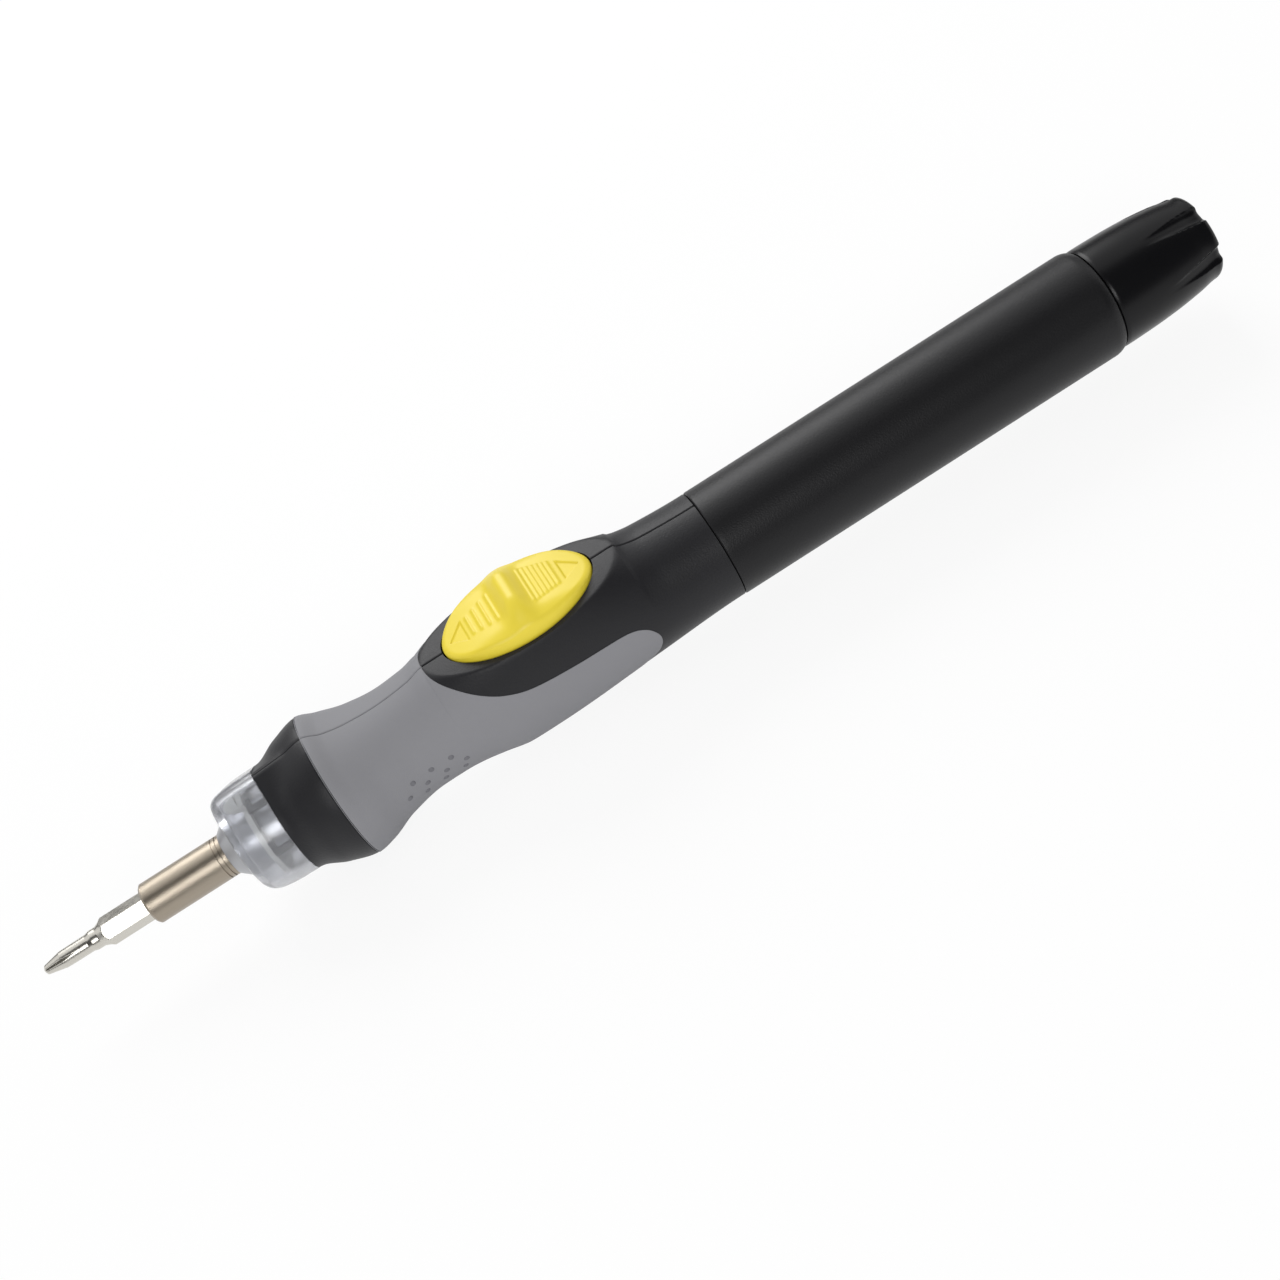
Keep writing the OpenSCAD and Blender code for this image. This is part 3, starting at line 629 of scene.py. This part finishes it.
class SCREWDRIVER_OT_grip(bpy.types.Operator):
    """Build the soft grey grip on both halves, with its nubs"""

    bl_idname = "screwdriver.grip"
    bl_label = "Soft grip"

    def execute(self, context):
        sizes = context.scene.driver_sizes
        xs = [FLARE_X - 0.4, FLARE_X - 0.3, FLARE_X - 0.2, FLARE_X - 0.1]
        xs += body_stations(FLARE_X, DECK_X - 16.5, 0.45) + deck_stations()
        half = half_shell("grip_right_skin", xs, 0, 0.95, sizes.seam_gap)
        keep = prism("keep", grip_outline(0.03), 1, -1, 30)
        cut(half, keep, "INTERSECT")
        shade(half)
        self.dots(half, sizes.dot_r)
        left = mirrored(half, "grip_left_skin")
        stand_for(half, FINISHES["grip"], "housing", "grip_right")
        stand_for(left, FINISHES["grip"], "housing", "grip_left")
        return {"FINISHED"}

    def dots(self, half, radius):
        """Three staggered rows of low round nubs on the waist's side, joined to the skin."""
        points, faces = [], []
        rows = ((0.0, 0, 3), (1.9, -1.6, 4), (3.6, 1.0, 3))
        for drop, shift, count in rows:
            for k in range(count):
                self.nub(points, faces, WAIST_X - 3.2 + shift + 3.35 * k, 86 + 12.5 * drop / 1.9, radius)
        nubs = mesh_object("grip_right_nubs", points, faces)
        orient(nubs)
        shade(nubs, 60)
        for obj in (nubs, mirrored(nubs, "grip_left_nubs")):
            stand_for(obj, FINISHES["nub"], "housing")

    def nub(self, points, faces, x, degrees, radius):
        """Adds one nub at x, at degrees from the top round the side."""
        a = math.radians(degrees)
        s = float(through(Body.side, x))
        h = s if degrees < 90 else float(through(Body.bottom, x))
        d = 1 / math.hypot(math.sin(a) / s, math.cos(a) / h)
        centre = Vector((x, d * math.sin(a), d * math.cos(a)))
        out = Vector((0, math.sin(a), math.cos(a)))
        along = Vector((1, 0, 0))
        across = out.cross(along)
        start, turns, rings = len(points), 20, 6
        for i in range(rings):
            t = math.radians(90 * i / rings)
            for j in range(turns):
                b = TAU * j / turns
                spread = radius * math.cos(t)
                lift = out * (0.26 * math.sin(t) - 0.1)
                points.append(tuple(centre + lift + (along * math.cos(b) + across * math.sin(b)) * spread))
        faces += grid_faces(rings, turns, True, start)
        faces.append(tuple(start + j for j in reversed(range(turns))))
        faces.append(tuple(start + (rings - 1) * turns + j for j in range(turns)))


def lens_points(t, stations):
    """Rings of the lens, moved in by t, as an array of rows."""
    line = [[LENS_X, 6.9], [LENS_X + 0.1, 7.25], [LENS_X + 0.35, 7.62], [LENS_X + 0.75, 8.0],
            [LENS_X + 1.3, 8.3], [LENS_X + 2.1, 8.54], [LENS_X + 3.4, 8.74], [LENS_X + 5, 8.86],
            [NOSE_X - 0.05, LENS_R]]
    angles = np.linspace(0, TAU, 180, endpoint=False)
    fold = np.where(angles > math.pi, TAU - angles, angles)
    rows = []
    for x in stations:
        r = float(through(line, x))
        d = ridged(r - t, Body.ridge_z - (LENS_R - r) - t, fold, 2.6 - t)
        rows.append([(x, d[i] * math.sin(a), d[i] * math.cos(a)) for i, a in enumerate(angles)])
    return rows


class SCREWDRIVER_OT_lens(bpy.types.Operator):
    """Build the clear lens cup with the ridge over the lamp"""

    bl_idname = "screwdriver.lens"
    bl_label = "Lens"

    def execute(self, context):
        front = [LENS_X + u for u in (0, 0.05, 0.12, 0.22, 0.35, 0.55, 0.8)]
        outer = lens_points(0, front + body_stations(LENS_X + 1.1, NOSE_X - 0.08, 0.5))
        inner = lens_points(1.3, [NOSE_X - 0.08, NOSE_X - 3, LENS_X + 2.4, LENS_X + 1.7, LENS_X + 1.4])
        turns = len(outer[0])
        angles = np.linspace(0, TAU, turns, endpoint=False)

        def hole(x):
            return [(x, 5.35 * math.sin(a), 5.35 * math.cos(a)) for a in angles]

        rows = [hole(LENS_X + 0.02)] + outer + inner + [hole(LENS_X + 1.38)]
        points = [p for row in rows for p in row]
        faces = grid_faces(len(rows), turns, True)
        last = (len(rows) - 1) * turns
        faces += [(last + j, last + (j + 1) % turns, (j + 1) % turns, j) for j in range(turns)]
        self.latches()
        obj = mesh_object("lens_cup", points, faces)
        orient(obj)
        shade(obj, 40)
        stand_for(obj, FINISHES["lens"], "housing", "lens")
        return {"FINISHED"}

    def latches(self):
        """Dark tabs that hold the lens, seen through it."""
        points, faces = [], []
        for degrees in range(-75, 285, 60):
            for x0, x1, turn, spread in ((20.6, 23.6, 0, 8), (20.6, 21.4, 8, 16)):
                tab, sides = latch_tab(x0, x1, degrees + turn, spread)
                faces += [tuple(k + len(points) for k in side) for side in sides]
                points += tab
        obj = mesh_object("lens_latches", points, faces, smooth=False)
        orient(obj)
        stand_for(obj, FINISHES["black"], "housing")


def latch_tab(x0, x1, degrees, spread):
    """Small curved tab just inside the lens, as points and faces."""
    points = []
    for x in (x0, x1):
        for r in (6.6, 7.2):
            for k in range(5):
                a = math.radians(degrees + spread * (k / 4 - 0.5))
                points.append((x, r * math.sin(a), r * math.cos(a)))
    faces = [(k, k + 1, k + 6, k + 5) for k in range(4)]
    faces += [(10 + k, 15 + k, 16 + k, 11 + k) for k in range(4)]
    faces += [(k, 10 + k, 11 + k, k + 1) for k in range(4)]
    faces += [(5 + k, 6 + k, 16 + k, 15 + k) for k in range(4)]
    faces += [(0, 5, 15, 10), (4, 14, 19, 9)]
    return points, faces


ARROW_START = 8.1
ARROW_END = 10.9


def rocker_height(u, v):
    """Top of the rocker at u along and v across, in millimetres from its centre."""
    z = 11.2 + 2.1 * np.cos(0.5 * math.pi * np.clip(np.abs(u) / ROCKER_A, 0, 1))
    side = 1 - smooth_step(2.4, 7.0, np.abs(v))
    z = z + 2.2 * np.exp(-(np.abs(u) / 1.95) ** 2.5) * (0.2 + 0.8 * side)
    z = z - 0.9 * smooth_step(3.5, ROCKER_B + 0.6, np.abs(v)) ** 2
    ribs = [(-7.1 + 1.35 * i, 2.4 + 0.35 * i) for i in range(4)]
    ribs += [(2.75 + 0.7 * i, 4.3 - 0.2 * i) for i in range(7)]
    for x, reach in ribs:
        ridge = np.exp(-(((u - x) / 0.26) ** 2)) * (1 - smooth_step(reach - 0.7, reach, np.abs(v)))
        z = z + 0.2 * ridge
    for way in (-1, 1):
        w = u * way
        inside = np.minimum(w - ARROW_START, (ARROW_END - w) * 0.62 - np.abs(v) * 0.78)
        z = z - 0.24 * smooth_step(-0.1, 0.16, inside)
    return z


class SCREWDRIVER_OT_rocker(bpy.types.Operator):
    """Build the yellow rocker with its ridge, ribs and arrows"""

    bl_idname = "screwdriver.rocker"
    bl_label = "Rocker"

    def execute(self, context):
        a, b, rows, cols = ROCKER_A, ROCKER_B, 240, 110
        grid_u, grid_v = [], []
        for i in range(rows + 1):
            s = math.sin(math.pi * (i / rows - 0.5))
            s = 0.55 * s + 0.45 * (2 * i / rows - 1)
            for j in range(cols + 1):
                t = 2 * j / cols - 1
                t = 0.6 * math.sin(0.5 * math.pi * t) + 0.4 * t
                grid_u.append(s * a)
                grid_v.append(t * b * math.sqrt(max(0, 1 - s * s)))
        u, v = np.array(grid_u), np.array(grid_v)
        rho = np.sqrt((u / a) ** 2 + (v / b) ** 2)
        edge = (1 - rho) * b
        z = rocker_height(u, v)
        inward = np.clip(edge / ROCKER_EDGE, 0, 1)
        z = z - ROCKER_EDGE * (1 - np.sqrt(np.clip(1 - (1 - inward) ** 2, 0, 1)))
        n = cols + 1
        points = [(DECK_X + p, q, h) for p, q, h in zip(u, v, z)]
        faces = grid_faces(rows + 1, n, False)
        rim = [i * n for i in range(rows + 1)] + [rows * n + j for j in range(1, cols + 1)]
        rim += [i * n + cols for i in range(rows - 1, -1, -1)] + [j for j in range(cols - 1, 0, -1)]
        start = len(points)
        points += [(points[k][0], points[k][1], 9.2) for k in rim]
        count = len(rim)
        faces += [(rim[k], rim[(k + 1) % count], start + (k + 1) % count, start + k) for k in range(count)]
        faces.append(tuple(range(start, start + count)))
        obj = mesh_object("rocker_key", points, faces)
        weld(obj)
        orient(obj)
        shade(obj, 50)
        stand_for(obj, FINISHES["yellow"], "rocker", "rocker")
        return {"FINISHED"}


class SCREWDRIVER_OT_tube(bpy.types.Operator):
    """Build the battery tube"""

    bl_idname = "screwdriver.tube"
    bl_label = "Battery tube"

    def execute(self, context):
        r, x0, x1 = TUBE_R, TAIL_X + 0.1, TUBE_END
        line = [(TAIL_X - 6, 6.95), (TAIL_X - 6, r - 0.95), (x0, r - 0.95)]
        line += [(x0 + 0.35 * (1 - math.cos(a)), r - 0.35 + 0.35 * math.sin(a))
                 for a in np.linspace(0, math.pi / 2, 7)]
        line += [(x, r) for x in body_stations(x0 + 1, x1 - 2.2, 4)]
        line += [(x1 - 1.7 + 1.5 * u, r - 0.38 * u * u) for u in np.linspace(0, 1, 9)]
        line += [(x1 - 0.06, r - 0.5), (x1, r - 0.7), (x1, r - 1.15), (x1 - 4.3, r - 1.15), (x1 - 4.3, 6.95)]
        obj = revolve("battery_tube_shell", line)
        stand_for(obj, FINISHES["tube"], "housing", "battery_tube")
        return {"FINISHED"}


GROOVE_TURN = 36.3


class SCREWDRIVER_OT_cap(bpy.types.Operator):
    """Build the tail cap with its six finger grooves"""

    bl_idname = "screwdriver.cap"
    bl_label = "Tail cap"

    def execute(self, context):
        drops = [[0, 0.62], [0.35, 0.46], [5.3, 0.55], [9.8, 0.8], [12.2, 1.04], [14.3, 1.3], [17.2, 1.74]]
        line = [(CAP_X - 3.9, 5.6), (CAP_X - 3.9, 7.4), (CAP_X - 3.7, 7.53), (CAP_X - 0.1, 7.53), (CAP_X, 7.7)]
        line += [(CAP_X + x, TUBE_R - float(through(drops, x))) for x in np.linspace(0, 17.1, 60)]
        end_r = line[-1][1]
        line += [(CAP_END - 1.2 + 1.2 * math.sin(a), end_r - 0.95 + 0.95 * math.cos(a))
                 for a in np.linspace(0.05, math.pi / 2, 16)]
        line += [(CAP_END, r) for r in (5.4, 4.4, 3.2, 2, 1)] + [(CAP_END, 0)]
        inner = [(CAP_END - 1.7, 0), (CAP_END - 1.7, 5.6)]

        outer = revolve("tail_cap_shell", inner[::-1] + line, 360, 40, self.grooved)
        stand_for(outer, FINISHES["cap"], "tail_cap", "tail_cap")
        return {"FINISHED"}

    def grooved(self, x, r, angle):
        """Radius with the finger grooves, which widen and deepen toward the end."""
        if x < CAP_X + 4 or r < 2:
            return r
        rise = float(smooth_step(CAP_X + 7.5, CAP_END, x))
        offset = (math.degrees(angle) - GROOVE_TURN + 30) % 60 - 30
        return r - 0.8 * rise * max(0.0, 1 - (offset / (4 + 8 * rise)) ** 4)


def bit_radius(s, degrees):
    """Outside of the bit at s from its tip: a turned shank with four flutes, then a hexagon."""
    shank = ([0, 0.25, 3.1, 7.6, 8.3, 9.4, 10.3, 10.8, 27.6, 28],
             [0.35, 0.75, 1.38, 1.4, 1.6, 1.6, 2, 2.4, 2.4, 2])
    r = float(np.interp(s, *shank))
    if s > 9.5:
        corner = math.radians((degrees - 15 + 30) % 60 - 30)
        r = min(r, 0.5 * BIT_HEX / math.cos(corner))
    flute = math.radians((degrees - 45 + 45) % 90 - 45)
    floor = 0.42 + (s + 0.5) * math.tan(math.radians(9.5))
    slope = math.cos(flute) - abs(math.sin(flute))
    if s < 7 and slope > 0.05:
        r = min(r, floor / slope)
    return r


class SCREWDRIVER_OT_bit(bpy.types.Operator):
    """Build the cross-point bit"""

    bl_idname = "screwdriver.bit"
    bl_label = "Bit"

    def execute(self, context):
        turns = 144
        stations = list(np.arange(0, 7.2, 0.1)) + list(np.arange(7.2, 11.2, 0.08))
        stations += [12, 16, 20, 24, 27, 27.6, 28]
        points = []
        for s in stations:
            for k in range(turns):
                degrees = 360 * k / turns
                r, a = bit_radius(s, degrees), math.radians(degrees)
                points.append((BIT_TIP + s, r * math.sin(a), r * math.cos(a)))
        faces = grid_faces(len(stations), turns, True)
        last = (len(stations) - 1) * turns
        faces += [tuple(range(turns)), tuple(last + k for k in range(turns))]
        obj = mesh_object("bit_blade", points, faces, 28)
        orient(obj)
        shade(obj, 28)
        stand_for(obj, FINISHES["bit"], "bit", "bit")
        return {"FINISHED"}


class SCREWDRIVER_OT_inner(bpy.types.Operator):
    """Give every frame node that stays its finish"""

    bl_idname = "screwdriver.inner"
    bl_label = "Metal and inner pieces"

    looks = {
        "bit": "bit", "bit_holder": "nickel", "gearbox_nose": "steel", "magnet": "ferrite",
        "output_spindle": "steel",
        "ring_gear": "gear", "gearbox_cover": "steel", "input_carrier": "steel", "motor_can": "steel",
        "motor_magnets": "ferrite", "motor_cap": "white", "rotor": "winding", "switch_board": "board",
        "switch_domes": "steel", "lamp": "white", "lamp_board": "white", "front_contact": "steel",
        "cells": "jacket", "cap_contact": "steel", "cap_spring": "steel",
    }

    def execute(self, context):
        for node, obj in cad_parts.items():
            kind = self.looks.get(node) or ("brass" if node.startswith("output_planet") else "gear")
            obj.data.materials.clear()
            obj.data.materials.append(FINISHES[kind])
        return {"FINISHED"}


# ---------------------------------------------------------------- stage


def soft_lamp(name, place, target, size, power):
    """Round area lamp at a place in metres, facing the target."""
    data = bpy.data.lights.new(name, "AREA")
    data.shape = "DISK"
    data.size = size
    data.energy = power
    obj = bpy.data.objects.new(name, data)
    obj.location = place
    obj.rotation_euler = (Vector(target) - Vector(place)).to_track_quat("-Z", "Y").to_euler()
    bpy.context.scene.collection.objects.link(obj)


def white_to_camera(tree, shader_socket, output_socket, share):
    """Shows plain white to the camera and in reflections, and the given shader to all other light."""
    nodes, links = tree.nodes, tree.links
    path = nodes.new("ShaderNodeLightPath")
    is_world = tree == bpy.context.scene.world.node_tree
    glow = nodes.new("ShaderNodeBackground" if is_world else "ShaderNodeEmission")
    glow.inputs["Color"].default_value = (1, 1, 1, 1)
    seen = nodes.new("ShaderNodeMath")
    seen.operation = "MAXIMUM"
    seen_too = nodes.new("ShaderNodeMath")
    seen_too.operation = "MAXIMUM"
    links.new(path.outputs["Is Camera Ray"], seen.inputs[0])
    links.new(path.outputs["Is Glossy Ray"], seen.inputs[1])
    links.new(seen.outputs[0], seen_too.inputs[0])
    links.new(path.outputs["Is Transmission Ray"], seen_too.inputs[1])
    level = nodes.new("ShaderNodeMath")
    level.operation = "MULTIPLY"
    level.inputs[1].default_value = share
    links.new(seen_too.outputs[0], level.inputs[0])
    mix = nodes.new("ShaderNodeMixShader")
    links.new(level.outputs[0], mix.inputs["Fac"])
    links.new(shader_socket, mix.inputs[1])
    links.new(glow.outputs[0], mix.inputs[2])
    links.new(mix.outputs[0], output_socket)


class SCREWDRIVER_OT_stage(bpy.types.Operator):
    """Set up the pale floor, the soft light and the camera"""

    bl_idname = "screwdriver.stage"
    bl_label = "Stage"

    def execute(self, context):
        scene = context.scene
        scene.view_settings.view_transform = "Standard"
        self.world(scene)
        self.floor()
        soft_lamp("back", (0.1, 0.75, 0.6), LAMP_TARGET, 0.7, 6.0)
        soft_lamp("fill", (-0.15, -0.85, 0.6), LAMP_TARGET, 0.5, 4.6)
        self.flag()
        self.camera(scene)
        return {"FINISHED"}

    def world(self, scene):
        world = bpy.data.worlds.new("studio")
        world.use_nodes = True
        scene.world = world
        nodes = world.node_tree.nodes
        base = nodes["Background"]
        base.inputs["Color"].default_value = (1, 1, 1, 1)
        base.inputs["Strength"].default_value = ROOM_LIGHT
        white_to_camera(world.node_tree, base.outputs[0], nodes["World Output"].inputs["Surface"], 1.0)

    def floor(self):
        z = cad_box[0][2] / MM - 0.02
        corners = [(FLOOR_HALF * i, FLOOR_HALF * j, z) for i, j in ((-1, -1), (1, -1), (1, 1), (-1, 1))]
        obj = mesh_object("floor", corners, [(0, 1, 2, 3)], smooth=False)
        material = bpy.data.materials.new("pale_floor")
        material.use_nodes = True
        tree = material.node_tree
        shader = tree.nodes["Principled BSDF"]
        shader.inputs["Base Color"].default_value = (0.92, 0.92, 0.92, 1)
        shader.inputs["Roughness"].default_value = 0.9
        white_to_camera(tree, shader.outputs[0], tree.nodes["Material Output"].inputs["Surface"],
                        FLOOR_WHITE)
        obj.data.materials.append(material)

    def flag(self):
        """Dark cards in front and low behind, seen only in reflections, that give the gloss its shape."""
        card = [(-2800, -1800, -11), (3200, -1800, -11), (3200, -80, 1800), (-2800, -80, 1800),
                (-1400, 900, -11), (1600, 900, -11), (1600, 900, 380), (-1400, 900, 380)]
        obj = mesh_object("flag", card, [(0, 1, 2, 3), (4, 5, 6, 7)], smooth=False)
        material = bpy.data.materials.new("black_flag")
        material.use_nodes = True
        shader = material.node_tree.nodes["Principled BSDF"]
        shader.inputs["Base Color"].default_value = (0.01, 0.01, 0.01, 1)
        shader.inputs["Specular IOR Level"].default_value = 0
        obj.data.materials.append(material)
        obj.visible_camera = False
        obj.visible_diffuse = False
        obj.visible_transmission = False
        obj.visible_shadow = False

    def camera(self, scene):
        """Looks at the tool from above its left side, turned so that the tail rises to the right."""
        toward = Vector((0, -math.cos(CAMERA_HEIGHT), math.sin(CAMERA_HEIGHT)))
        over = Vector((0, math.sin(CAMERA_HEIGHT), math.cos(CAMERA_HEIGHT)))
        forward = -toward * math.cos(CAMERA_LEAN) + Vector((1, 0, 0)) * math.sin(CAMERA_LEAN)
        target = CAMERA_TARGET - over * CAMERA_DROP
        along = (Vector((1, 0, 0)) - forward * forward.x).normalized()
        up_side = (-forward).cross(along)
        right = along * math.cos(CAMERA_TURN) - up_side * math.sin(CAMERA_TURN)
        up = along * math.sin(CAMERA_TURN) + up_side * math.cos(CAMERA_TURN)
        data = bpy.data.cameras.new("camera")
        data.sensor_width = 36
        data.lens = CAMERA_LENS
        data.shift_x, data.shift_y = CAMERA_SHIFT
        data.clip_start = 0.01
        obj = bpy.data.objects.new("camera", data)
        place = target - forward * CAMERA_AWAY
        basis = Matrix((right, up, -forward)).transposed().to_4x4()
        obj.matrix_world = Matrix.Translation(place) @ basis
        scene.collection.objects.link(obj)
        scene.camera = obj


class SCREWDRIVER_PT_panel(bpy.types.Panel):
    """Lists the sizes, colours and steps"""

    bl_idname = "SCREWDRIVER_PT_panel"
    bl_label = "Precision screwdriver"
    bl_space_type = "VIEW_3D"
    bl_region_type = "UI"
    bl_category = "Screwdriver"

    def draw(self, context):
        layout = self.layout
        for group in (context.scene.driver_sizes, context.scene.driver_colours):
            box = layout.box()
            for name in group.__annotations__:
                box.prop(group, name)
        for operator in STEPS:
            layout.operator(operator.bl_idname)


STEPS = (SCREWDRIVER_OT_finishes, SCREWDRIVER_OT_stage, SCREWDRIVER_OT_inner, SCREWDRIVER_OT_housing,
         SCREWDRIVER_OT_grip, SCREWDRIVER_OT_lens, SCREWDRIVER_OT_rocker, SCREWDRIVER_OT_tube,
         SCREWDRIVER_OT_cap, SCREWDRIVER_OT_bit)
CLASSES = (DriverSizes, DriverColours) + STEPS + (SCREWDRIVER_PT_panel,)


def register():
    for cls in CLASSES:
        bpy.utils.register_class(cls)
    bpy.types.Scene.driver_sizes = bpy.props.PointerProperty(type=DriverSizes)
    bpy.types.Scene.driver_colours = bpy.props.PointerProperty(type=DriverColours)


def unregister():
    del bpy.types.Scene.driver_colours
    del bpy.types.Scene.driver_sizes
    for cls in reversed(CLASSES):
        bpy.utils.unregister_class(cls)


def main():
    register()
    for operator in STEPS:
        group, name = operator.bl_idname.split(".")
        getattr(getattr(bpy.ops, group), name)()


if __name__ == "__main__":
    main()
